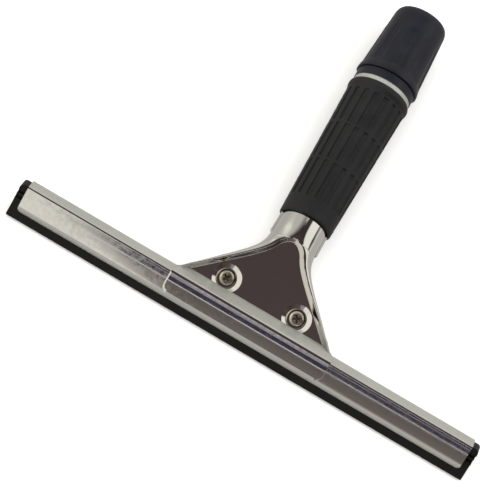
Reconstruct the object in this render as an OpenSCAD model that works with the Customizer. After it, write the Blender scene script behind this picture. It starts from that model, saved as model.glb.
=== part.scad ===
// Window cleaning squeegee with a screw-clamped channel and a pole socket.
// It lies on a table: the rubber edge and the lock collar's skirt both touch z = 0.
// X runs along the channel, +Y along the handle towards the pole, the front faces up.

/* [Channel and rubber] */
// Length of the channel
channel_l = 250; // [200:1:300]
// Thickness of the channel, front to back
channel_w = 9.7; // [9:0.1:10]
// Depth of the channel, spine to lips
channel_h = 15.5; // [15:0.1:18]
// Sheet thickness of the channel
channel_t = 0.6; // [0.4:0.1:0.8]
// Rubber showing past each end of the channel
rubber_over = 4; // [2:0.5:8]
// Rubber showing below the channel's lips
rubber_out = 5.2; // [4:0.1:9]
// Thickness of the rubber at its working edge
rubber_t = 2.2; // [2:0.1:2.3]

/* [Yoke] */
// Sheet thickness of the yoke and the clamp plate
sheet = 1.1; // [1:0.05:1.2]
// Width of the jaws along the channel
jaw_w = 90; // [88:1:100]
// How far the jaws reach down the channel
jaw_h = 12; // [10:0.5:13]
// Angle between the blade and the handle's axis
blade_angle = 44; // [42:0.5:46]
// Slope of the recessed panel
panel_angle = 20; // [19:0.5:21]
// Depth of the panel below the rims
recess = 3.8; // [3.5:0.1:4]
// Radius of each screw dish at the panel
dish_r = 7.3; // [6.5:0.1:7.6]
// Depth of each screw dish
dish_d = 1.4; // [0.8:0.1:1.5]
// Distance of each screw from the middle
screw_x = 19.8; // [18:0.1:21]

/* [Handle] */
// Outer radius of the yoke's neck
neck_r = 12.05; // [11.8:0.05:12.2]
// Outer radius of the tube at its open end
tube_r = 15.4; // [15.2:0.05:15.6]
// Radius of the grip above its mouth
grip_r0 = 14.2; // [13.8:0.1:14.6]
// Radius of the grip below its bead
grip_r1 = 15.9; // [15.8:0.1:16.2]
// Radius of the bead at the grip's top
bead_r = 16.6; // [16.3:0.1:16.7]

/* [Pole lock] */
// Radius of the bore that the pole slides into
pole_r = 11; // [10.5:0.1:11]
// Radius of the collar's skirt
skirt_r = 16.8; // [16.7:0.1:17.5]
// Number of flutes round the collar
flutes = 10; // [6:1:14]

/* [Hidden] */
$fn = 64;

slip = 0.1;                 // clearance between sliding sheet parts
fit = 0.05;                 // radial clearance of running fits

// stations along the handle, measured from the middle of the channel's spine
spigot_y0 = 47;             // the tube's swaged spigot inside the yoke's neck ...
neck_end = 57.7;            // ... and the end of the neck on it
grip_y0 = 53;
bead_y = 130.7;
grip_y1 = 133.2;
tube_end = 135.4;
flange_end = 139.9;
collar_y0 = 140.2;
collar_y1 = 180.5;
socket_y0 = 98;             // floor of the pole socket
collet_y0 = 160;            // the insert's thread ends and its collet begins
collet_y1 = 171;

// jaw section in the blade's frame: front is -x, up the blade is +y
jaw_x = channel_w / 2 + slip;
cover_y = slip + sheet;     // outer face of the sheet that covers the spine
valley_x = 6.27;            // where that sheet folds up into the panel
bend = blade_angle - panel_angle;
fold_y = valley_x * sin(blade_angle) + cover_y * cos(blade_angle);
fold_z = -valley_x * cos(blade_angle) + cover_y * sin(blade_angle);

// the rest pose stands on the rubber's edge and on the collar's skirt
rubber_reach = channel_h + rubber_out;
spine_z = rubber_reach * sin(blade_angle) + rubber_t / 2 * cos(blade_angle);
axis_z = skirt_r;
front_y = rubber_reach * cos(blade_angle) + rubber_t / 2 * sin(blade_angle);
spine_y = -(collar_y1 - front_y) / 2;

// yoke outline: straight flanks that run into the neck through a soft fillet
flank_x = 43.4;
flank_y = 2.4;
flank_slope = 1.03;
fillet = 3.5;
apex_y = 39.1;
apex_r = 4.5;
wall_run = 0.4;             // sideways run of the panel's wall
rim_min = 3.1;
rim_grow = 0.15;
rim_drop = 5;               // height of the rims' rounded outer side at the jaw
rim_flat = 0.3;             // flat crest between the panel's wall and that side
edge_r = 2.4;               // radius of the walls' lower edge at the jaw
curl_y0 = 26;               // the walls start to curl under here ...
curl_y1 = 44;               // ... and have closed to a round neck here
seam_angle = 89;            // a butt seam stays open under the neck
wall_low = -9;              // lower edge of the walls at the jaw
arc_n = 6;                  // points on each rolled edge
no_panel = 0.02;            // sections past the apex have no panel

// screws, measured from the floor of their dishes
screw_up = 4.8;             // from the fold, up the panel
seat_r = 4.4;               // flat floor of the dish
shank_r = 2;
head_r = 3.8;
head_h = 2.1;
washer_r = 4.2;
washer_t = 0.6;
nut_r = 3.9;
nut_h = 3;
plate_z = -(2 * sheet + slip);      // underside of the clamp plate
shank_low = plate_z - nut_h - 0.9;

function soft_max(v, lim, k) = lim + k * ln(1 + exp((v - lim) / k));
function soft_min(v, lim, k) = -soft_max(-v, -lim, k);
function clamp01(v) = min(1, max(0, v));
function ease(v) = clamp01(v) * clamp01(v) * (3 - 2 * clamp01(v));

// the yoke at station y: half-width, panel height, rim height, rim width
function half_w(y) = soft_max(flank_x - flank_slope * (y - flank_y), neck_r, fillet);
function panel_z(y) = spine_z - axis_z + fold_z + (y - fold_y) * tan(panel_angle);
function rim_z(y) = soft_min(panel_z(y) + recess / cos(panel_angle), neck_r, 0.8);
function rim_w(y) = rim_min + rim_grow * max(0, y - fold_y);
function apex_k(y) = y < apex_y - apex_r ? 1
    : sqrt(max(0.0001, 1 - pow((y - apex_y + apex_r) / apex_r, 2)));
function panel_x(y, t) = y >= apex_y + t ? no_panel
    : (half_w(y) - rim_w(y)) * apex_k(y - t) + t;
// the rims' crest runs beside the panel and fades out into the round neck
function crest_x(y) = (half_w(y) - rim_w(y) + wall_run) * (1 - ease((y - 30) / (curl_y1 - 30)));
function crest_drop(y) = rim_drop + (neck_r - rim_drop) * ease((y - 10) / (curl_y1 - 10));
function roll_r(y) = edge_r + (neck_r - edge_r) * ease((y - 18) / (curl_y1 - 18));
function curl(y) = ease((y - curl_y0) / (curl_y1 - curl_y0));

// right half of a section lying a depth t under the outer skin, from the middle of the
// panel over the rim to the wall's lower edge
function half_section(y, t) =
    let (w = half_w(y) - t, top = rim_z(y) - t, px = panel_x(y, t),
        has_panel = y < apex_y + t, pz = has_panel ? panel_z(y) - t : top,
        run = has_panel ? wall_run : no_panel,
        a = w - max(crest_x(y), px + run) - rim_flat, b = crest_drop(y) - t, rb = roll_r(y) - t,
        low = wall_low * (1 - curl(y)), sweep = seam_angle * curl(y),
        step = 0.1 * (1 - curl(y)))
    concat([[0, pz], [px, pz], [px + run, top]],
        [for (i = [0:arc_n]) let (turn = 90 * i / arc_n)
            [w - a + a * sin(turn), top - b + b * cos(turn)]],
        [for (i = [1:arc_n]) let (turn = sweep * i / arc_n)
            [w - rb + rb * cos(turn), low - rb * sin(turn) - i * step]]);
function section(y, t) =
    let (h = half_section(y, t), n = len(h))
    concat([for (i = [n - 1:-1:1]) [-h[i][0], y, h[i][1]]], [for (p = h) [p[0], y, p[1]]]);

// closed shell between two stacks of sections, outer and inner
module shell(ys, t) {
    outer = [for (y = ys) each section(y, 0)];
    inner = [for (y = ys) each section(y, t)];
    m = len(section(ys[0], 0));
    off = len(outer);
    last = len(ys) - 1;
    // each entry holds the corners of one four-sided patch
    quads = concat(
        [for (j = [0:last - 1], i = [0:m - 2]) let (a = j * m + i) [a, a + m, a + m + 1, a + 1]],
        [for (j = [0:last - 1], i = [0:m - 2]) let (a = off + j * m + i)
            [a, a + 1, a + m + 1, a + m]],
        [for (i = [0:m - 2]) [i, i + 1, off + i + 1, off + i]],
        [for (i = [0:m - 2]) let (a = last * m + i) [a, off + a, off + a + 1, a + 1]],
        [for (j = [0:last - 1]) let (a = j * m) [a, off + a, off + a + m, a + m]],
        [for (j = [0:last - 1]) let (a = j * m + m - 1) [a, a + m, off + a + m, off + a]]);
    polyhedron(concat(outer, inner), [for (q = quads) each [[q[0], q[1], q[2]], [q[0], q[2], q[3]]]]);
}

// point of the blade's section at v up the panel and w out of it
function from_panel(v, w) = [valley_x + v * sin(bend) - w * cos(bend),
    cover_y + v * cos(bend) + w * sin(bend)];

// frames: blade (Y to the back, Z up the blade), panel (Y up the slope, Z out of the
// panel), screw (on the floor of a dish) and handle (Z along the handle)
module at_blade() translate([0, spine_y, spine_z]) rotate([blade_angle - 90, 0, 0]) children();
module at_panel() translate([0, spine_y + fold_y, spine_z + fold_z])
    rotate([panel_angle, 0, 0]) children();
module at_screw(side) at_panel() translate([side * screw_x, screw_up, -dish_d]) children();
module at_handle() translate([0, spine_y, axis_z]) rotate([-90, 0, 0]) children();

// strip along X from a section drawn with x to the back and y up the blade
module strip(l) rotate([90, 0, 90]) linear_extrude(l, center = true) children();
// outline drawn from the front, cut through the whole thickness
module face_cut() rotate([90, 0, 0]) linear_extrude(60, center = true) children();
// what rounding one corner of an outline takes away; sx and sy point at the corner
module corner(x, y, r, sx, sy) {
    translate([x - sx * r, y - sy * r]) difference() {
        translate([sx > 0 ? 0 : -r - 1, sy > 0 ? 0 : -r - 1]) square(r + 1);
        circle(r);
    }
}
module corners(half, y, r, sy) {
    for (s = [-1, 1]) corner(s * half, y, r, s, sy);
}
// ring drawn as a polygon of [radius, station] round the handle's axis
module turned(points) at_handle() rotate_extrude() polygon(points);

module channel() color("silver") at_blade() {
    w = channel_w / 2;
    fold = 1.1;
    flat = 10.5;
    lip_out = 2;
    lip_in = rubber_t / 2 + slip;
    difference() {
        strip(channel_l) difference() {
            union() {
                translate([-w + fold, -flat]) square([2 * (w - fold), flat]);
                translate([-w, -flat]) square([2 * w, flat - fold]);
                for (s = [-1, 1]) translate([s * (w - fold), -fold]) circle(fold);
                polygon([[-w, -flat], [-w + 0.5, -13], [-lip_out, -channel_h],
                    [lip_out, -channel_h], [w - 0.5, -13], [w, -flat]]);
            }
            translate([-w + channel_t, -flat]) square([2 * (w - channel_t), flat - channel_t]);
            polygon([[-w + channel_t, -flat], [w - channel_t, -flat], [w - 0.5 - channel_t, -12.8],
                [lip_in, -14.8], [lip_in, -channel_h - 1], [-lip_in, -channel_h - 1],
                [-lip_in, -14.8], [-w + 0.5 + channel_t, -12.8]]);
        }
        face_cut() corners(channel_l / 2, -channel_h, 2, -1);
    }
}

module rubber_blade() color([0.08, 0.08, 0.08]) at_blade() {
    half = channel_l / 2 + rubber_over;
    top = -channel_t - slip;
    head = 3.6;
    web = rubber_t / 2;
    difference() {
        strip(2 * half) polygon([[-head, top], [-head, -9.5], [-web, -13], [-web, -rubber_reach],
            [web, -rubber_reach], [web, -13], [head, -9.5], [head, top]]);
        face_cut() corners(half, top, 2.2, 1);
    }
}

// sheet folded over the spine and down the channel's front face
module front_jaw() difference() {
    front = jaw_x + sheet;
    strip(jaw_w) union() {
        translate([-front, -jaw_h]) square([sheet, jaw_h + slip]);
        intersection() {
            translate([-front + sheet, slip]) circle(sheet);
            translate([-front, slip]) square(sheet);
        }
        polygon([[-jaw_x, cover_y], [valley_x, cover_y], [valley_x + 0.7, slip], [-jaw_x, slip]]);
    }
    face_cut() corners(jaw_w / 2, -jaw_h, 4.5, -1);
}

// conical dish round a screw from `low` under its floor to `high` above it, widened by
// `grow` and stopped at the fold
module dish(low, high, grow) intersection() {
    slope = (dish_r - seat_r) / dish_d;
    translate([0, 0, -low]) cylinder(h = low + high, r1 = seat_r + grow - slope * low / 4,
        r2 = seat_r + grow + slope * high);
    translate([-10, -screw_up - 0.3, -5]) cube([20, 20, 10]);
}

module front_yoke() color("gainsboro") difference() {
    union() {
        translate([0, spine_y, axis_z])
            shell([1.8, 5, 8, 12, 16, 20, 24, 28, 31, 33, 34.6, 36, 37.2, 38.2, 39, 39.5, 40.1,
                40.6, 42, 44, 48, neck_end], sheet);
        at_blade() front_jaw();
        for (s = [-1, 1]) at_screw(s) dish(sheet, dish_d - 0.3, 0.8);
    }
    at_blade() translate([-channel_l, -jaw_x, -30]) cube([2 * channel_l, 2 * jaw_x, 30 + slip]);
    for (s = [-1, 1]) at_screw(s) {
        dish(0, dish_d + 0.6, 0);
        translate([0, 0, -3]) cylinder(h = 6, r = shank_r + 0.2);
    }
}

// clamp plate: lies under the panel and bends down behind the channel
module rear_jaw_plate() color("silver") {
    top = -(dish_d + sheet + slip);
    low = top - sheet;
    bend_in = (jaw_x - valley_x + top * cos(bend)) / sin(bend);
    bend_out = (jaw_x + sheet - valley_x + low * cos(bend)) / sin(bend);
    wide_v = -5.2;
    difference() {
        union() {
            at_blade() difference() {
                strip(jaw_w) polygon([[jaw_x, -jaw_h], [jaw_x + sheet, -jaw_h],
                    from_panel(bend_out, low), from_panel(wide_v, low),
                    from_panel(wide_v, top), from_panel(bend_in, top)]);
                face_cut() corners(jaw_w / 2, -jaw_h, 4.5, -1);
            }
            at_panel() translate([0, 0, low]) linear_extrude(sheet)
                polygon([[-37.8, wide_v - 1], [37.8, wide_v - 1], [37.8, -0.8], [19, 18.5], [14.3, 23],
                    [-14.3, 23], [-19, 18.5], [-37.8, -0.8]]);
        }
        for (s = [-1, 1]) at_screw(s) translate([0, 0, -8]) cylinder(h = 10, r = shank_r + 0.2);
    }
}

module screw(side) color("lightgray") at_screw(side) {
    seat = washer_t + fit;
    dome = 0.9;             // height of the head's straight side
    difference() {
        union() {
            translate([0, 0, shank_low]) cylinder(h = seat - shank_low + 0.1, r = shank_r);
            translate([0, 0, seat]) rotate_extrude() polygon(concat([[0, 0], [head_r, 0]],
                [for (i = [0:6]) [head_r - 1.6 + 1.6 * cos(15 * i), dome + (head_h - dome) * sin(15 * i)]],
                [[0, head_h]]));
        }
        for (a = [45, 135]) rotate([0, 0, a]) translate([-2.2, -0.45, seat + head_h - 1.3])
            cube([4.4, 0.9, 2]);
    }
}
module left_screw() screw(-1);
module right_screw() screw(1);

module washer(side) color("gray") at_screw(side) difference() {
    cylinder(h = washer_t, r = washer_r);
    translate([0, 0, -1]) cylinder(h = 3, r = shank_r + 0.2);
}
module left_washer() washer(-1);
module right_washer() washer(1);

module nut(side) color("silver") at_screw(side) translate([0, 0, plate_z - nut_h]) difference() {
    cylinder(h = nut_h, r = nut_r, $fn = 6);
    translate([0, 0, -1]) cylinder(h = nut_h + 2, r = shank_r + fit);
}
module left_nut() nut(-1);
module right_nut() nut(1);

// outer radius of the tube at station y
cone_y0 = neck_end + 0.2;
function tube_at(y) = neck_r + (tube_r - neck_r) * (y - cone_y0) / (tube_end - cone_y0);
tube_t = 1;
spigot_r = neck_r - sheet - 0.15;
module handle_tube() color("gainsboro") turned([[spigot_r - tube_t, spigot_y0],
    [spigot_r, spigot_y0], [spigot_r, cone_y0], [neck_r, cone_y0], [tube_r, tube_end],
    [tube_r - tube_t, tube_end], [neck_r - tube_t, cone_y0 + 1.2],
    [spigot_r - tube_t, cone_y0 - 0.2]]);

module rubber_grip() color([0.13, 0.13, 0.14]) {
    bead = grip_y1 - bead_y;
    play = 0.05;
    turned(concat([[neck_r + play, grip_y0], [grip_r0, grip_y0],
            [grip_r0, grip_y0 + 4], [grip_r1, bead_y - bead]],
        [for (i = [1:6]) [grip_r1 + (bead_r - grip_r1) * sin(15 * i), bead_y - bead + bead * i / 6]],
        [for (i = [1:6]) [bead_r - 1.5 + 1.5 * cos(15 * i), bead_y + bead * sin(15 * i)]],
        [[tube_at(grip_y1) + play, grip_y1], [neck_r + play, cone_y0]]));
}

// plastic insert: sleeve in the tube, flange against its end, thread and slit collet
collet_r = 12.9;
module pole_insert() color([0.10, 0.10, 0.17]) difference() {
    turned([[0, socket_y0 - 2], [tube_at(socket_y0) - tube_t - 0.1, socket_y0 - 2],
        [tube_at(tube_end) - tube_t - 0.1, tube_end], [tube_r + 0.4, tube_end + fit],
        [tube_r + 0.4, flange_end], [collet_r, flange_end], [collet_r, collet_y0],
        [collet_r - 0.6, collet_y1], [pole_r, collet_y1], [pole_r, socket_y0], [0, socket_y0]]);
    at_handle() for (a = [0, 90]) rotate([0, 0, a]) translate([-20, -0.75, collet_y0 - 8])
        cube([40, 1.5, 30]);
}

module wedge_ring() color([0.16, 0.16, 0.18]) turned([[collet_r + slip, collet_y0 + 2],
    [13.8, collet_y0 + 2], [13.3, collet_y1 + 1], [pole_r + 0.5, collet_y1 + 1],
    [pole_r + 0.5, collet_y1 + 0.2], [collet_r + slip - 0.5, collet_y1 + 0.2]]);

module lock_collar() color([0.09, 0.09, 0.15]) difference() {
    turned(concat([[collet_r + slip, collar_y0 + 2.5], [15.2, collar_y0 + 2.5], [15.2, collar_y0],
            [skirt_r, collar_y0], [skirt_r, collar_y0 + 0.6], [16.1, collar_y0 + 5.5],
            [14.2, collar_y1 - 5]],
        [for (i = [1:5]) [11.8 + 2.4 * cos(18 * i), collar_y1 - 5 + 5 * sin(18 * i)]],
        [[pole_r + 0.5, collar_y1], [pole_r + 0.5, collet_y1 + 1 + slip],
            [13.3 + slip, collet_y1 + 1 + slip], [13.8 + slip, collet_y0 + 2],
            [13.8 + slip, collet_y0 + 1], [collet_r + slip, collet_y0 + 1]]));
    at_handle() for (i = [0:flutes - 1]) rotate([0, 0, 360 / flutes * i + 13])
        translate([20.3, 0, collar_y0 + 4]) rotate([0, -3.2, 0]) cylinder(h = 24, r = 4.9);
}

channel();
rubber_blade();
front_yoke();
rear_jaw_plate();
left_screw();
right_screw();
left_washer();
right_washer();
left_nut();
right_nut();
handle_tube();
rubber_grip();
pole_insert();
wedge_ring();
lock_collar();
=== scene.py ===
import math

import bmesh
import bpy
import numpy as np
from mathutils import Matrix, Vector


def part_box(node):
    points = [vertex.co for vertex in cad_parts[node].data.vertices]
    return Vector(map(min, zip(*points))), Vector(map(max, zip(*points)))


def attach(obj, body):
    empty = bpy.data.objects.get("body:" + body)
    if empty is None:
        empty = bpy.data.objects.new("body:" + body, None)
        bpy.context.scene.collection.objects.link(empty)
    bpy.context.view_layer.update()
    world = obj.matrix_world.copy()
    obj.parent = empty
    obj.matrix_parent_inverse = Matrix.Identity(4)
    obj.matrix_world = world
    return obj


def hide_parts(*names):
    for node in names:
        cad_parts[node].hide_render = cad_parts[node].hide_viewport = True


# Window cleaning squeegee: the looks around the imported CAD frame. Lengths are in
# millimetres until mesh() writes them in metres.
MM = 0.001
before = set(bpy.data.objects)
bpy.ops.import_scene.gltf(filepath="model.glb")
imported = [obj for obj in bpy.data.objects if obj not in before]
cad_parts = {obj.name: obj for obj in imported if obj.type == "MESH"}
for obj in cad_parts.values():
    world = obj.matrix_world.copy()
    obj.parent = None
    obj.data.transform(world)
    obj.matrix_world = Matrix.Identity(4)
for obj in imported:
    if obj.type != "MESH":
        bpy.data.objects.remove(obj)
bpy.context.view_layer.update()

# ---------------------------------------------------------------- places from the frame
BLADE_ANGLE = math.radians(44)
PANEL_ANGLE = math.radians(20)
SIN_B, COS_B = math.sin(BLADE_ANGLE), math.cos(BLADE_ANGLE)
SIN_P, COS_P = math.sin(PANEL_ANGLE), math.cos(PANEL_ANGLE)
HANDLE_LENGTH = 180.5           # from the spine's middle to the collar's end

collar_lo, collar_hi = (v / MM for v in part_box("lock_collar"))
blade_lo, blade_hi = (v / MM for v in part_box("rubber_blade"))
channel_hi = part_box("channel")[1] / MM
AXIS_Z = (collar_lo.z + collar_hi.z) / 2
SPINE_Y = collar_hi.y - HANDLE_LENGTH
RUBBER_T = 2.2                  # thickness of the rubber strip
RUBBER_REACH = 20.7             # from the spine to the rubber's free edge
SPINE_Z = blade_lo.z + RUBBER_REACH * SIN_B + RUBBER_T / 2 * COS_B

SHEET = 1.1                     # thickness of the yoke's sheet
SLIP = 0.1                      # play between jaw and channel
CHANNEL_W = 9.7
CHANNEL_H = 15.5
JAW_IN = CHANNEL_W / 2 + SLIP
JAW_W = 90.0
JAW_H = 12.0
COVER = SLIP + SHEET            # outer face of the sheet over the spine
VALLEY = 6.27                   # where that sheet folds up into the panel
FOLD_Y = VALLEY * SIN_B + COVER * COS_B
FOLD_Z = -VALLEY * COS_B + COVER * SIN_B
RECESS = 3.8                    # depth of the panel below the rims
NECK_R = 12.05
NECK_END = 57.7
SCREW_X, SCREW_UP = 19.8, 4.8
DISH_R, DISH_D, SEAT_R = 7.6, 1.4, 4.5


def blade_point(x, back, up):
    """Point of the blade's frame: back from the middle plane, up from the spine."""
    return (x, SPINE_Y + back * SIN_B + up * COS_B, SPINE_Z - back * COS_B + up * SIN_B)


def panel_point(x, up, out):
    """Point of the panel's frame: up the slope from the fold, out of the panel."""
    return (x, SPINE_Y + FOLD_Y + up * COS_P - out * SIN_P,
            SPINE_Z + FOLD_Z + up * SIN_P + out * COS_P)


def handle_point(radius, angle, station):
    """Point round the handle's axis; angle 0 is the top, positive towards +X."""
    return (radius * math.sin(angle), SPINE_Y + station, AXIS_Z + radius * math.cos(angle))


# ---------------------------------------------------------------- mesh helpers
def mesh(name, points, faces, material, body, replaces=(), smooth=40):
    """Object from points in mm, riding on a CAD body; edges above `smooth` degrees stay sharp."""
    data = bpy.data.meshes.new(name)
    data.from_pydata([[c * MM for c in p] for p in points], [], faces)
    data.validate()
    piece = bpy.data.objects.new(name, data)
    bpy.context.scene.collection.objects.link(piece)
    data.materials.append(material)
    shade(piece, smooth)
    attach(piece, body)
    if replaces:
        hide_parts(*replaces)
    return piece


def shade(piece, angle):
    """Smooth shading with edges sharper than angle (degrees) kept sharp."""
    work = bmesh.new()
    work.from_mesh(piece.data)
    bmesh.ops.recalc_face_normals(work, faces=work.faces)
    for face in work.faces:
        face.smooth = True
    limit = math.radians(angle)
    for edge in work.edges:
        sharp = len(edge.link_faces) != 2 or edge.calc_face_angle(0) > limit
        edge.smooth = not sharp
    work.to_mesh(piece.data)
    work.free()


def grid_faces(rows, cols, wrap=False):
    """Quads of a grid of points stored row by row; wrap joins the last column to the first."""
    last = cols if wrap else cols - 1
    return [[r * cols + c, r * cols + (c + 1) % cols,
             (r + 1) * cols + (c + 1) % cols, (r + 1) * cols + c]
            for r in range(rows - 1) for c in range(last)]


def lathe(profile, segments, shape):
    """Closed ring of a profile of (radius, station) turned round the handle's axis.
    shape(radius, station, angle) gives the radius at each point."""
    points = []
    for radius, station in profile:
        for i in range(segments):
            angle = 2 * math.pi * i / segments
            points.append(handle_point(shape(radius, station, angle), angle, station))
    faces = grid_faces(len(profile), segments, wrap=True)
    top = (len(profile) - 1) * segments
    faces += [[top + i, top + (i + 1) % segments, (i + 1) % segments, i] for i in range(segments)]
    return points, faces


def extruded(outline, lengths, place):
    """Closed prism: outline (list of 2-D points) repeated at each x in lengths."""
    points = [place(x, u, v) for x in lengths for u, v in outline]
    n = len(outline)
    faces = grid_faces(len(lengths), n, wrap=True)
    faces.append(list(range(n))[::-1])
    faces.append([(len(lengths) - 1) * n + i for i in range(n)])
    return points, faces


def arc(cx, cy, r, a0, a1, n):
    """n + 1 points of an arc, degrees counted from +x."""
    return [(cx + r * math.cos(math.radians(a0 + (a1 - a0) * i / n)),
             cy + r * math.sin(math.radians(a0 + (a1 - a0) * i / n))) for i in range(n + 1)]


def ease(v):
    """Smooth step from 0 to 1 as v goes from 0 to 1."""
    v = min(1.0, max(0.0, v))
    return v * v * (3 - 2 * v)


def corner_rise(reach, radius):
    """How far a rounded corner has drawn back, `reach` from the side that it ends at."""
    return radius - math.sqrt(max(0.0, radius ** 2 - (radius - reach) ** 2))


def stations(half, corner, spans, steps=8):
    """Places along X from -half to half, close together in the rounded corners."""
    ends = [half - corner * (1 - math.cos(math.pi / 2 * i / steps)) for i in range(steps + 1)]
    middle = [half * (1 - i / spans) for i in range(1, spans)]
    return [-x for x in ends + middle] + [0] + middle[::-1] + ends[::-1]


# ---------------------------------------------------------------- materials
def node_material(name, color, metallic, roughness, **sockets):
    """Principled material whose uniform values sit on the shader's own sockets."""
    m = bpy.data.materials.new(name)
    m.use_nodes = True
    shader = m.node_tree.nodes["Principled BSDF"]
    shader.inputs["Base Color"].default_value = (*color, 1)
    shader.inputs["Metallic"].default_value = metallic
    shader.inputs["Roughness"].default_value = roughness
    for key, value in sockets.items():
        shader.inputs[key.replace("_", " ")].default_value = value
    return m, m.node_tree, shader


def add(tree, kind, **values):
    """New node; values are inputs by name, or attributes where no input has that name."""
    node = tree.nodes.new(kind)
    for key, value in values.items():
        label = key.replace("_", " ")
        if label in node.inputs:
            node.inputs[label].default_value = value
        else:
            setattr(node, key, value)
    return node


def object_noise(tree, scale, detail=4.0, stretch=(1, 1, 1), rough=0.55):
    """Noise in the object's own space, stretched along the axes."""
    coord = add(tree, "ShaderNodeTexCoord")
    mapping = add(tree, "ShaderNodeMapping")
    mapping.inputs["Scale"].default_value = stretch
    tex = add(tree, "ShaderNodeTexNoise", Scale=scale, Detail=detail, Roughness=rough)
    tree.links.new(coord.outputs["Object"], mapping.inputs["Vector"])
    tree.links.new(mapping.outputs["Vector"], tex.inputs["Vector"])
    return tex


def ramp(tree, source, stops):
    """Colour ramp over a 0..1 source; stops are (place, grey or colour)."""
    node = add(tree, "ShaderNodeValToRGB")
    while len(node.color_ramp.elements) < len(stops):
        node.color_ramp.elements.new(0.5)
    for element, (place, value) in zip(node.color_ramp.elements, stops):
        element.position = place
        color = value if isinstance(value, tuple) else (value,) * 3
        element.color = (*color, 1)
    tree.links.new(source, node.inputs["Fac"])
    return node


def bump(tree, shader, height, strength, distance):
    """Bump on the shader from a height output."""
    node = add(tree, "ShaderNodeBump", Strength=strength, Distance=distance)
    tree.links.new(height, node.inputs["Height"])
    tree.links.new(node.outputs["Normal"], shader.inputs["Normal"])


def polished(name, color, rough, wave, grain_axis, metallic=1.0):
    """Polished sheet steel: faint drawn grain, slow waviness and uneven roughness."""
    m, tree, shader = node_material(name, color, metallic, rough)
    stretch = tuple(0.02 if i == grain_axis else 1.0 for i in range(3))
    grain = object_noise(tree, 2600, 3, stretch)
    slow = object_noise(tree, 38, 2)
    spots = object_noise(tree, 420, 3)
    mix = ramp(tree, spots.outputs["Fac"], [(0.35, rough * 0.75), (0.75, rough * 1.7)])
    tree.links.new(mix.outputs["Color"], shader.inputs["Roughness"])
    tint = ramp(tree, slow.outputs["Fac"], [(0.3, tuple(c * 0.93 for c in color)), (0.7, color)])
    tree.links.new(tint.outputs["Color"], shader.inputs["Base Color"])
    fine = add(tree, "ShaderNodeBump", Strength=0.03, Distance=0.00002)
    tree.links.new(grain.outputs["Fac"], fine.inputs["Height"])
    coarse = add(tree, "ShaderNodeBump", Strength=wave, Distance=0.0004)
    tree.links.new(slow.outputs["Fac"], coarse.inputs["Height"])
    tree.links.new(fine.outputs["Normal"], coarse.inputs["Normal"])
    tree.links.new(coarse.outputs["Normal"], shader.inputs["Normal"])
    return m


def moulded(name, color, rough, bump_scale, depth):
    """Moulded rubber or plastic: fine pimpled skin, faint dust and gloss changes."""
    m, tree, shader = node_material(name, color, 0.0, rough, Specular_IOR_Level=0.35)
    skin = object_noise(tree, bump_scale, 5)
    dust = object_noise(tree, 90, 6, rough=0.65)
    light = tuple(c * 1.5 + 0.001 for c in color)
    tint = ramp(tree, dust.outputs["Fac"], [(0.42, color), (0.72, light)])
    tree.links.new(tint.outputs["Color"], shader.inputs["Base Color"])
    gloss = ramp(tree, dust.outputs["Fac"], [(0.3, rough * 0.88), (0.75, min(1.0, rough * 1.15))])
    tree.links.new(gloss.outputs["Color"], shader.inputs["Roughness"])
    bump(tree, shader, skin.outputs["Fac"], 0.35, depth)
    return m


steel_yoke = polished("yoke_steel", (0.80, 0.785, 0.77), 0.055, 0.025, 1)
steel_satin = polished("satin_steel", (0.47, 0.475, 0.44), 0.42, 0.05, 0, metallic=0.6)
steel_channel = polished("channel_steel", (0.80, 0.785, 0.77), 0.085, 0.045, 0)
steel_plate = polished("plate_steel", (0.66, 0.66, 0.66), 0.30, 0.05, 0)
steel_screw = polished("screw_steel", (0.80, 0.755, 0.65), 0.30, 0.05, 2)
steel_washer = polished("washer_steel", (0.10, 0.085, 0.07), 0.35, 0.05, 2)
# painted shade: a near-black material that stands for the shadow deep in the screws' cross
# recesses
recess_painted_shade = node_material("recess_shadow", (0.035, 0.024, 0.016), 0.3, 0.6)[0]
rubber_black = moulded("blade_rubber", (0.0022, 0.0022, 0.0024), 0.5, 1500, 0.00003)
rubber_grip = moulded("grip_rubber", (0.0065, 0.0065, 0.0072), 0.55, 1900, 0.00004)
plastic_insert = moulded("insert_plastic", (0.005, 0.0055, 0.010), 0.42, 1200, 0.00002)
plastic_collar = moulded("collar_plastic", (0.0045, 0.005, 0.0095), 0.38, 1100, 0.00002)
plastic_ring = moulded("ring_plastic", (0.05, 0.05, 0.055), 0.5, 1100, 0.00002)


# ---------------------------------------------------------------- front yoke
FLANK_X, FLANK_Y, FLANK_SLOPE, FILLET = 43.4, 2.4, 1.03, 3.5   # straight flanks into the neck
APEX_Y, APEX_R = 39.1, 4.5
RIM_MIN, RIM_GROW = 3.1, 0.15
RIM_DROP, RIM_FLAT = 5.0, 0.3
EDGE_R = 2.4
CURL_0, CURL_1 = 26.0, 44.0
WALL_LOW = -9.0
WALL_RUN = 1.5                  # sideways run of the panel's rounded wall
WALL_START = 4.6                # the side walls begin behind the channel


def soft_max(v, lim, k):
    return lim + k * math.log1p(math.exp((v - lim) / k))


def half_w(y):
    return soft_max(FLANK_X - FLANK_SLOPE * (y - FLANK_Y), NECK_R, FILLET)


def panel_z(y):
    return SPINE_Z - AXIS_Z + FOLD_Z + (y - FOLD_Y) * math.tan(PANEL_ANGLE)


def rim_z(y):
    return -soft_max(-(panel_z(y) + RECESS / COS_P), -NECK_R, 0.8)


def rim_w(y):
    return RIM_MIN + RIM_GROW * max(0.0, y - FOLD_Y)


def guide_x(y):
    """Half-width of the panel, carried on past its apex."""
    return half_w(y) - rim_w(min(y, 42.0))


def panel_k(y):
    """1 along the panel's flanks, falling to 0 round its apex."""
    past = max(0.0, (y - APEX_Y + APEX_R) / APEX_R)
    return math.sqrt(max(0.0, 1 - past ** 2)) if y < APEX_Y else 0.0


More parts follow.
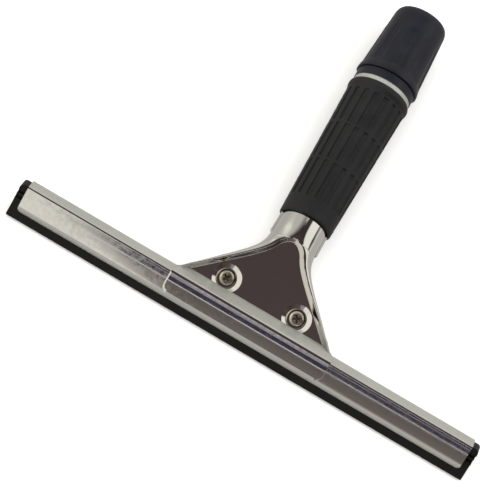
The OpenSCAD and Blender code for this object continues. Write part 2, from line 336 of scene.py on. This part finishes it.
def crest_x(y):
    """Half-distance between the rims' crests, which fade out into the round neck."""
    panel = guide_x(y) * panel_k(y) + WALL_RUN if y < APEX_Y else max(0.0, WALL_RUN - y + APEX_Y)
    return max(panel, (guide_x(y) + WALL_RUN) * (1 - ease((y - 30) / (CURL_1 - 30)))) + RIM_FLAT


def crest_drop(y):
    return RIM_DROP + (NECK_R - RIM_DROP) * ease((y - 10) / (CURL_1 - 10))


def roll_r(y):
    """Radius that the walls' lower edge curls to."""
    return EDGE_R + (NECK_R - EDGE_R) * ease((y - 18) / (CURL_1 - 18))


def cover_z(y):
    """Height of the sheet over the spine, against the handle's axis."""
    return SPINE_Z - AXIS_Z + (COVER - y * COS_B) / SIN_B


def panel_outline():
    """Points along the panel's flanks and round its apex, in (x, y)."""
    ys = np.concatenate([np.linspace(-12, APEX_Y - APEX_R, 160),
                         APEX_Y - APEX_R + APEX_R * np.sin(np.linspace(0, math.pi / 2, 60))])
    half = []
    for y in ys:
        half.append((guide_x(y) * panel_k(y), y))
    return np.array([(-x, y) for x, y in half] + half[::-1])


OUTLINE = panel_outline()


def outside_panel(x, y):
    """Signed distance from the panel's outline, positive outside it."""
    start, run = OUTLINE[:-1], np.diff(OUTLINE, axis=0)
    share = np.clip(((np.array((x, y)) - start) * run).sum(1) / ((run ** 2).sum(1) + 1e-9), 0, 1)
    d = math.sqrt(((start + run * share[:, None] - (x, y)) ** 2).sum(1).min())
    return -d if abs(x) < guide_x(y) * panel_k(y) else d


def yoke_height(x, y):
    """Height of the yoke's recessed top at (x, y), against the handle's axis."""
    lift = ease((outside_panel(x, y) + 0.1) / 1.2)
    low, top = panel_z(y), rim_z(y)
    z = low + (top - low) * lift
    for side in (-1, 1):
        away = math.hypot(x - side * SCREW_X, (y - FOLD_Y) / COS_P - SCREW_UP)
        z -= DISH_D * min(1.0, max(0.0, (DISH_R - away) / (DISH_R - SEAT_R))) * (1 - lift)
    return z


def yoke_row(y, panel_n, wall_n, arc_n, side_n):
    """Right half of a section at station y, from the middle to the lower edge."""
    w, g, crest, top = half_w(y), guide_x(y), crest_x(y), rim_z(y)
    inner = min(g, crest - 0.2)
    xs = [inner * i / panel_n for i in range(panel_n)]
    xs += [inner + (crest - inner) * i / wall_n for i in range(wall_n)]
    row = [(x, yoke_height(x, y)) for x in xs]
    wide, drop = w - crest, crest_drop(y)
    floor = cover_z(y) - 0.3 if y < WALL_START else -99
    for i in range(arc_n + 1):
        a = math.pi / 2 * i / arc_n
        row.append((crest + wide * math.sin(a), max(top - drop + drop * math.cos(a), floor)))
    curl = ease((y - CURL_0) / (CURL_1 - CURL_0))
    z0, rb = row[-1][1], roll_r(y)
    low = z0 - 0.1 if y < WALL_START else WALL_LOW * (1 - curl)
    row += [(w, z0 + (low - z0) * i / side_n) for i in range(1, side_n)]
    sweep = math.radians(89) * curl
    row += [(w - rb + rb * math.cos(sweep * i / arc_n),
             low - rb * math.sin(sweep * i / arc_n) - 0.02 * i * (1 - curl))
            for i in range(1, arc_n + 1)]
    return row


def bowed(flat, up, middle, radius=52.0):
    """Slight outward bow of a rolled sheet's face: `flat` at mid-height, less at its edges."""
    return flat - (up - middle) ** 2 / (2 * radius)


def front_jaw():
    """Sheet over the spine and down the channel's front face, with rounded lower corners."""
    r_out, r_in, lip = SHEET + 0.5, 0.5, 0.3
    front, middle = JAW_IN + SHEET, (COVER - JAW_H) / 2
    face = [-JAW_H + lip + (JAW_H + COVER - r_out - lip) * i / 10 for i in range(11)]
    outline = [(-bowed(front, face[0], middle) + lip, -JAW_H)]
    outline += [(-bowed(front, u, middle), u) for u in face]
    top = -bowed(front, face[-1], middle) + r_out
    outline += arc(top, COVER - r_out, r_out, 174, 90, 8)
    outline += [(VALLEY - 2.2, COVER), (VALLEY - 0.1, COVER), (VALLEY + 0.2, COVER - 0.12)]
    outline += [(VALLEY + 0.7, SLIP), (VALLEY - 2.2, SLIP)]
    outline += arc(-JAW_IN + r_in, SLIP - r_in, r_in, 90, 180, 4)
    outline += [(-JAW_IN, -JAW_H)]
    corner, edge = 4.5, 0.3
    half = JAW_W / 2
    steps = [half - edge * (1 - math.cos(math.pi / 2 * i / 3)) for i in range(4)]
    steps += [half - corner * (1 - math.cos(math.pi / 2 * i / 10)) for i in range(4, 11)]
    beside = (7, 6.3, 5.6, 5, 4.4, 3.6, 2.4, 1.2)
    scallop = [SCREW_X + d for d in beside + (0,)] + [SCREW_X - d for d in beside[::-1]]
    steps += [33.0] + scallop + [6.0]
    lengths = [-x for x in steps] + [0.0] + steps[::-1]

    def place(x, back, up):
        reach = half - abs(x)
        if reach < edge and back < -JAW_IN - 0.3:
            back += corner_rise(reach, edge)
        if reach < corner and up < -2:
            up = max(up, -JAW_H + corner_rise(reach, corner))
        if back > VALLEY - 1:
            notch = max(0.0, 1 - (abs(abs(x) - SCREW_X) / 5.6) ** 2)
            back -= 0.25 * math.sqrt(notch)
        limit = half - 4.0 * min(1.0, max(0.0, (back + 4.5) / 10.5))
        if abs(x) > 30:
            x = math.copysign(30 + (abs(x) - 30) * (limit - 30) / (half - 30), x)
        return blade_point(x, back, up)
    return extruded(outline, lengths, place)


def satin_spine(piece):
    """Gives satin steel to the faces that look up or down the blade: its spine and lips."""
    up = Vector((0, COS_B, SIN_B))
    piece.data.materials.append(steel_satin)
    for face in piece.data.polygons:
        if face.normal.dot(up) > 0.97 or face.normal.dot(up) < -0.35:
            face.material_index = 1


def build_yoke():
    # stations are close at the dishes and round the panel's apex
    ys = list(np.arange(FLANK_Y, 4.59, 0.36)) + [WALL_START - 0.01, WALL_START]
    ys += list(np.arange(4.8, 19.0, 0.22)) + list(np.arange(19.0, 33.0, 0.5))
    ys += list(np.arange(33.0, 41.6, 0.22))
    ys += [42.0, 42.6, 43.2, 44.0, 45.0, 46.5, 48.0, 51.0, 54.0, NECK_END]
    rows = []
    for y in ys:
        half = yoke_row(y, 130, 9, 14, 4)
        full = [(-x, z) for x, z in half[:0:-1]] + half
        rows.append([(x, SPINE_Y + y, AXIS_Z + z) for x, z in full])
    points = [p for row in rows for p in row]
    faces = grid_faces(len(rows), len(rows[0]))
    yoke = mesh("yoke_stamping", points, faces, steel_yoke, "handle", ["front_yoke"])
    # the open sheet has to face up and outwards before it is thickened inwards
    if sum(face.normal.z * face.area for face in yoke.data.polygons) < 0:
        yoke.data.flip_normals()
    solid = yoke.modifiers.new("sheet", "SOLIDIFY")
    solid.thickness = SHEET * MM * 0.9
    solid.offset = -1
    jaw_points, jaw_faces = front_jaw()
    jaw = mesh("yoke_jaw", jaw_points, jaw_faces, steel_yoke, "handle", smooth=50)
    satin_spine(jaw)


build_yoke()


# ---------------------------------------------------------------- channel and rubber
def build_channel():
    """Rolled channel: flat faces that bow slightly, turned in at the foot into two lips."""
    w, t = CHANNEL_W / 2, 0.6
    outline = [(-2.0, -CHANNEL_H), (-2.35, -CHANNEL_H + 0.1)]
    face = [(-bowed(w, u, -5.8), u) for u in np.linspace(-10.5, -1.1, 9)]
    outline += [(-3.6, -14.0), (-4.2, -13.0), (-4.5, -12.0)] + face
    outline += arc(-w + 1.3, -1.1, 1.1, 174, 90, 8)
    outline += arc(w - 1.1, -1.1, 1.1, 90, 0, 8)
    outline += [(w, -10.5), (4.7, -12.0), (4.35, -13.0), (3.6, -14.0)]
    outline += [(2.35, -CHANNEL_H + 0.1), (2.0, -CHANNEL_H), (1.3, -CHANNEL_H), (1.25, -14.9)]
    outline += [(3.1, -13.6), (3.8, -12.6), (w - t, -10.5), (w - t, -1.4)]
    outline += arc(w - 1.4, -1.4, 0.8, 0, 90, 4) + arc(-w + 1.4, -1.4, 0.8, 90, 180, 4)
    outline += [(-w + t, -10.5), (-3.8, -12.6), (-3.1, -13.6), (-1.25, -14.9), (-1.3, -CHANNEL_H)]
    half = channel_hi.x
    corner = 2.2
    lengths = stations(half, corner, 12)

    def place(x, back, up):
        reach = half - abs(x)
        if reach < corner and up < -10:
            up = max(up, -CHANNEL_H + corner_rise(reach, corner))
        return blade_point(x, back, up)
    points, faces = extruded(outline, lengths, place)
    satin_spine(mesh("channel_strip", points, faces, steel_channel, "channel_body",
                     ["channel"], smooth=50))


def build_rubber():
    """Rubber strip: head in the channel, two pairs of ribs, and a flat tongue."""
    half, top = blade_hi.x, -0.7
    head, rib, t = 3.6, 2.4, RUBBER_T / 2
    outline = [(-t, -RUBBER_REACH + 0.12), (-t, -10.5), (-rib, -10.4), (-rib, -9.4), (-t, -9.3)]
    outline += [(-t, -7.5), (-rib, -7.4), (-rib, -6.4), (-t, -6.3), (-t, -4.4), (-head, -4.3)]
    outline += arc(-head + 0.6, top - 0.6, 0.6, 180, 90, 4)
    outline += [(-b, u) for b, u in reversed(outline)]
    outline += [(t - 0.12, -RUBBER_REACH), (-t + 0.12, -RUBBER_REACH)]
    corner = 2.2
    lengths = stations(half, corner, 10)

    def place(x, back, up):
        reach = half - abs(x)
        if reach < corner:
            up = min(up, top - corner_rise(reach, corner))
        return blade_point(x, back, up)
    points, faces = extruded(outline, lengths, place)
    mesh("rubber_strip", points, faces, rubber_black, "blade",
         ["rubber_blade"], smooth=45)


build_channel()
build_rubber()


# ---------------------------------------------------------------- screws
def screw_piece(side):
    """Pan-head screw with a Phillips recess, modelled in the panel's frame."""
    shank_r, shank_low, seat, head_r, head_h = 2.0, -7.2, 0.65, 3.8, 2.1
    rings = [(shank_r, shank_low), (shank_r, seat), (head_r - 0.15, seat),
             (head_r, seat + 0.15), (head_r, seat + 0.85)]
    rings += [(head_r - 1.5 + 1.5 * math.cos(math.radians(a)),
               seat + 0.85 + 1.15 * math.sin(math.radians(a))) for a in range(15, 76, 15)]
    rings += [(r, seat + head_h - 0.02 - 0.012 * r * r)
              for r in (2.1, 1.9, 1.7, 1.5, 1.3, 1.1, 0.9, 0.7, 0.5, 0.3, 0.12)]
    segments = 96
    arm_half, arm_reach, recess = 0.38, 1.75, 1.25
    points, faces, sunk = [], [], set()
    for r, z in rings:
        for i in range(segments):
            a = 2 * math.pi * i / segments
            turn = math.pi / 4 - 0.2 * side
            u, v = r * math.cos(a - turn), r * math.sin(a - turn)
            arm = min(abs(u), abs(v))
            long = max(abs(u), abs(v))
            cut = (1 - ease((arm - arm_half) / 0.22)) * (1 - ease((long - arm_reach) / 0.35))
            depth = recess * cut * (1 if z > seat + 1.6 else 0) * (1 - 0.35 * long / 2.1)
            if depth > 0.45:
                sunk.add(len(points))
            points.append(panel_point(side * SCREW_X + r * math.cos(a), SCREW_UP + r * math.sin(a),
                                      -DISH_D + z - depth))
    faces = grid_faces(len(rings), segments, wrap=True)
    faces.append(list(range(segments))[::-1])
    faces.append([(len(rings) - 1) * segments + i for i in range(segments)])
    label = "left" if side < 0 else "right"
    screw = mesh(label + "_pan_screw", points, faces, steel_screw, label + "_screw_body",
                 [label + "_screw"], smooth=38)
    # painted shade: faces sunk deep in the cross recess get the near-black material in place of
    # the shadow that falls there
    screw.data.materials.append(recess_painted_shade)
    for face in screw.data.polygons:
        if sum(v in sunk for v in face.vertices) >= 3:
            face.material_index = 1


for side in (-1, 1):
    screw_piece(side)


# ---------------------------------------------------------------- grip
GRIP_Y0, BEAD_Y, GRIP_Y1 = 53.0, 130.7, 133.2
GRIP_R0, GRIP_R1, BEAD_R = 14.2, 15.9, 16.6
COLUMNS = 18
ROWS = [(62.4, 83.6), (84.6, 105.6), (106.6, 127.0)]
ROWS_END = 127.9                # the plain top bead begins here
POCKET_DEPTH = 0.65
POCKET_TURN = math.radians(11)
GRIP_BORE = 12.2


def grip_radius(y):
    """Outer radius, widening evenly towards the bead."""
    r = GRIP_R0 + (GRIP_R1 - GRIP_R0) * (y - GRIP_Y0 - 4) / (BEAD_Y - 3 - GRIP_Y0 - 4)
    return min(r, GRIP_R1)


def pocket(y, angle):
    """Depth, 0 to 1, of the recessed pockets between the grip's lands."""
    pitch = 2 * math.pi / COLUMNS
    place = ((angle + POCKET_TURN) / pitch) % 1.0
    across = ease(place / 0.05) * (1 - ease((place - 0.43) / 0.05)) if place < 0.5 else 0.0
    along = 0.0
    for low, high in ROWS:
        along = max(along, ease((y - low) / 0.5) * (1 - ease((y - high + 0.5) / 0.5)))
    return across * along


def build_grip():
    """Moulded sleeve with three rows of pockets, a plain band below and a bead on top."""
    segments = 360
    ys = list(np.arange(GRIP_Y0 + 0.8, 62.0, 1.6))
    for low, high in ROWS:
        ys += [low - 0.2, low, low + 0.12, low + 0.25, low + 0.38, low + 0.5]
        ys += list(np.linspace(low + 2, high - 2, 9))
        ys += [high - 0.5, high - 0.38, high - 0.25, high - 0.12, high, high + 0.2]
    ys.append(ROWS_END)
    profile = [(grip_radius(y), y) for y in sorted(ys)]
    bead = 2.5                  # length of the bead's rise, and of its fall
    profile += [(GRIP_R1 + (BEAD_R - GRIP_R1) * math.sin(math.radians(a)),
                 BEAD_Y - bead + bead * a / 90) for a in range(10, 91, 10)]
    profile += [(BEAD_R - 1.5 + 1.5 * math.cos(math.radians(a)),
                 BEAD_Y + bead * math.sin(math.radians(a))) for a in range(15, 91, 15)]
    profile += [(15.32, GRIP_Y1 - 0.1), (GRIP_BORE, 58.5), (GRIP_BORE, GRIP_Y0 + 0.6)]
    profile += [(GRIP_BORE + 0.4, GRIP_Y0 + 0.1), (GRIP_R0 - 0.9, GRIP_Y0),
                (GRIP_R0 - 0.35, GRIP_Y0 + 0.1), (GRIP_R0 - 0.15, GRIP_Y0 + 0.35)]

    def shape(radius, station, angle):
        if radius < 14 or station > ROWS_END:
            return radius
        return radius - POCKET_DEPTH * pocket(station, angle)
    points, faces = lathe(profile, segments, shape)
    mesh("grip_sleeve", points, faces, rubber_grip, "handle",
         ["rubber_grip"], smooth=60)


build_grip()


# ---------------------------------------------------------------- lock collar
COLLAR_Y0, COLLAR_Y1 = 140.2, 180.5
SHOULDER_Y = COLLAR_Y0 + 5.5     # the fluted cone begins
COLLAR_BORE = 11.5
FLUTES = 10
FLUTE_TURN = math.radians(5)
FLUTE_DEPTH = 0.5


def build_collar():
    """Lock nut: short skirt, shoulder, fluted cone and a rounded end round the socket."""
    skirt, cone_0, cone_1, top_y = 16.8, 16.04, 14.2, COLLAR_Y1 - 5
    profile = [(15.3, COLLAR_Y0 + 0.3), (15.6, COLLAR_Y0), (skirt - 0.25, COLLAR_Y0),
               (skirt, COLLAR_Y0 + 0.25), (skirt - 0.02, COLLAR_Y0 + 0.7)]
    profile += [(skirt - 0.7 * ease(i / 6) - 0.06 * i / 6, COLLAR_Y0 + 0.7 + 4.8 * i / 6)
                for i in range(1, 7)]
    profile += [(cone_0 + (cone_1 - cone_0) * i / 22, SHOULDER_Y + (top_y - SHOULDER_Y) * i / 22)
                for i in range(1, 23)]
    profile += [(11.8 + 2.4 * math.cos(math.radians(a)), top_y + 5 * math.sin(math.radians(a)))
                for a in range(9, 91, 9)]
    profile += [(COLLAR_BORE + 0.1, COLLAR_Y1), (COLLAR_BORE, COLLAR_Y1 - 0.3),
                (COLLAR_BORE, 172.2), (13.4, 172.1), (13.9, 162.0), (13.9, 161.0),
                (13.0, 161.0), (13.0, COLLAR_Y0 + 2.6), (15.2, COLLAR_Y0 + 2.5)]

    def shape(radius, station, angle):
        if radius < 13.9 or not COLLAR_Y0 + 3 < station < COLLAR_Y1 - 4:
            return radius
        pitch = 2 * math.pi / FLUTES
        place = abs((((angle + FLUTE_TURN) / pitch + 0.5) % 1.0) - 0.5) * 2
        across = 1 - ease((place - 0.28) / 0.22)
        along = ease((station - COLLAR_Y0 - 3.6) / 2.0) * (1 - ease((station - 166.0) / 2.5))
        return radius - FLUTE_DEPTH * across * along
    points, faces = lathe(profile, 240, shape)
    mesh("collar_nut", points, faces, plastic_collar, "collar",
         ["lock_collar"], smooth=50)


build_collar()

# ---------------------------------------------------------------- CAD nodes that keep their shape
for node, material in (("rear_jaw_plate", steel_plate), ("left_washer", steel_washer),
                       ("right_washer", steel_washer), ("left_nut", steel_screw),
                       ("right_nut", steel_screw), ("handle_tube", steel_satin),
                       ("pole_insert", plastic_insert), ("wedge_ring", plastic_ring)):
    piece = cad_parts[node]
    piece.data.materials.clear()
    piece.data.materials.append(material)


# ---------------------------------------------------------------- floor, light and camera
def build_floor():
    """Plain pale table top."""
    m, tree, shader = node_material("floor_paper", (0.93, 0.93, 0.93), 0.0, 0.7)
    size = 6.0
    corners = [(-size, -size, 0), (size, -size, 0), (size, size, 0), (-size, size, 0)]
    data = bpy.data.meshes.new("floor")
    data.from_pydata(corners, [], [(0, 1, 2, 3)])
    data.materials.append(m)
    floor = bpy.data.objects.new("floor", data)
    floor.location.z = -0.0002
    bpy.context.scene.collection.objects.link(floor)
    floor.visible_glossy = False    # mirrors show the painted studio below the horizon too


def area_light(name, place, target, size, power):
    """Soft light; mirrors show the painted studio in its place."""
    light = bpy.data.lights.new(name, "AREA")
    light.shape = "RECTANGLE"
    light.size, light.size_y = size
    light.energy = power
    holder = bpy.data.objects.new(name, light)
    holder.location = place
    holder.visible_glossy = False
    holder.rotation_euler = (Vector(target) - Vector(place)).to_track_quat("-Z", "Y").to_euler()
    bpy.context.scene.collection.objects.link(holder)


def mapped(tree, source, start, end, curve="SMOOTHSTEP"):
    """0..1 step as a source goes from start to end, smooth unless the curve is LINEAR."""
    node = add(tree, "ShaderNodeMapRange", interpolation_type=curve)
    node.inputs["From Min"].default_value = start
    node.inputs["From Max"].default_value = end
    tree.links.new(source, node.inputs["Value"])
    return node.outputs["Result"]


def along(tree, source, vector):
    """Dot product of the looked-at direction with a fixed vector."""
    dot = add(tree, "ShaderNodeVectorMath", operation="DOT_PRODUCT")
    dot.inputs[1].default_value = vector
    tree.links.new(source, dot.inputs[0])
    return dot.outputs["Value"]


def product(tree, a, b):
    """Product of two outputs."""
    node = add(tree, "ShaderNodeMath", operation="MULTIPLY")
    tree.links.new(a, node.inputs[0])
    tree.links.new(b, node.inputs[1])
    return node.outputs["Value"]


def lobe(tree, source, vector, inner, outer):
    """1 within `inner` degrees of a direction, 0 beyond `outer`."""
    unit = Vector(vector).normalized()
    return mapped(tree, along(tree, source, unit), math.cos(math.radians(outer)),
                  math.cos(math.radians(inner)))


MIX_UNDER, MIX_OVER, MIX_RESULT = 6, 7, 2   # the colour sockets of a Mix node


def painted(tree, under, factor, color):
    """A colour laid over what is there, where factor is 1."""
    node = add(tree, "ShaderNodeMix", data_type="RGBA")
    tree.links.new(factor, node.inputs["Factor"])
    tree.links.new(under, node.inputs[MIX_UNDER])
    node.inputs[MIX_OVER].default_value = (*color, 1)
    return node.outputs[MIX_RESULT]


# what the studio shows from the front horizon (0 degrees) over the zenith (90) to the back
STUDIO = [(0, (0.42, 0.36, 0.34)), (7, (0.17, 0.15, 0.14)), (22.0, (0.12, 0.105, 0.095)),
          (22.3, (1.0, 0.95, 0.98)), (22.9, (1.0, 0.95, 0.98)), (23.2, (0.045, 0.042, 0.055)),
          (28.7, (0.035, 0.035, 0.06)), (28.9, (1.0, 0.95, 1.0)), (29.3, (1.0, 0.95, 1.0)),
          (29.5, (0.10, 0.075, 0.065)), (42, (0.05, 0.04, 0.036)),
          (62, (0.085, 0.068, 0.072)), (70, (0.075, 0.056, 0.054)), (84, (0.060, 0.045, 0.045)),
          (105, (0.045, 0.034, 0.034)), (140, (0.06, 0.05, 0.05)), (160, (0.55, 0.54, 0.50)),
          (180, (0.85, 0.84, 0.80))]


def build_world():
    """Studio painted by direction: the ramp from front to back, then screens laid over it.
    The steel mirrors it, since lamps and floor are hidden from reflections."""
    world = bpy.data.worlds.new("studio")
    bpy.context.scene.world = world
    world.use_nodes = True
    tree = world.node_tree
    view = add(tree, "ShaderNodeTexCoord").outputs["Generated"]
    split = add(tree, "ShaderNodeSeparateXYZ")
    tree.links.new(view, split.inputs["Vector"])
    turn = add(tree, "ShaderNodeMath", operation="ARCTAN2")
    tree.links.new(split.outputs["Z"], turn.inputs[0])
    tree.links.new(along(tree, view, (0, -1, 0)), turn.inputs[1])
    level = mapped(tree, turn.outputs["Value"], 0, math.pi, "LINEAR")
    color = ramp(tree, level, [(angle / 180, c) for angle, c in STUDIO]).outputs["Color"]
    height, back_share = split.outputs["Z"], split.outputs["Y"]
    left_end = product(tree, mapped(tree, along(tree, view, (-1, 0, -0.065)), 0.004, 0.028),
                       mapped(tree, height, 0.62, 0.50))
    overhead = product(tree, mapped(tree, back_share, 0.32, 0.36),
                       product(tree, mapped(tree, split.outputs["X"], 0.12, 0.07),
                               mapped(tree, split.outputs["X"], -0.12, -0.07)))
    back_left = lobe(tree, view, (-0.75, 0.50, 0.45), 30, 56)
    front_left = lobe(tree, view, (-0.85, -0.35, 0.40), 34, 43)
    back_right = lobe(tree, view, (0.68, 0.342, 0.65), 17, 24)
    for screen, paint in (
            (left_end, (0.86, 0.84, 0.76)), (back_left, (0.56, 0.55, 0.50)),
            (front_left, (0.92, 0.89, 0.79)),
            (mapped(tree, back_share, 0.50, 0.64), (0.80, 0.79, 0.73)),
            (back_right, (0.95, 0.93, 0.84)), (overhead, (0.62, 0.62, 0.57)),
            (mapped(tree, height, 0.03, -0.05), (0.50, 0.49, 0.46))):
        color = painted(tree, color, screen, paint)
    back = tree.nodes["Background"]
    tree.links.new(color, back.inputs["Color"])


build_floor()
build_world()
area_light("key", (1.33, 0.67, 1.27), (0, 0, 0), (1.2, 1.2), 15)
area_light("fill", (-1.7, -0.7, 0.9), (0, 0, 0), (1.3, 1.0), 11)
area_light("sky", (0, 0, 2.6), (0, 0, 0), (5.0, 5.0), 130)

VIEW_EL = math.radians(70)
ROLL = math.radians(30.4)
DISTANCE = 1.5
LENS = 225.4
AIM_X, AIM_RISE = -19.5, 26.6      # aim: place along the spine, then upwards in the view


def build_camera():
    """Long lens from high in front, rolled so that the blade runs down to the right."""
    back_dir = Vector((0, -math.cos(VIEW_EL), math.sin(VIEW_EL)))
    up_dir = Vector((0, math.sin(VIEW_EL), math.cos(VIEW_EL)))
    right_dir = Vector((1, 0, 0))
    aim = Vector(blade_point(AIM_X, 0, 0)) * MM + up_dir * AIM_RISE * MM
    cam_up = up_dir * math.cos(ROLL) - right_dir * math.sin(ROLL)
    cam_right = right_dir * math.cos(ROLL) + up_dir * math.sin(ROLL)
    data = bpy.data.cameras.new("camera")
    data.sensor_width = 36
    data.lens = LENS
    camera = bpy.data.objects.new("camera", data)
    camera.matrix_world = Matrix.Translation(aim + back_dir * DISTANCE) @ Matrix(
        (cam_right, cam_up, back_dir)).transposed().to_4x4()
    bpy.context.scene.collection.objects.link(camera)
    bpy.context.scene.camera = camera


build_camera()
bpy.context.scene.view_settings.view_transform = "Standard"
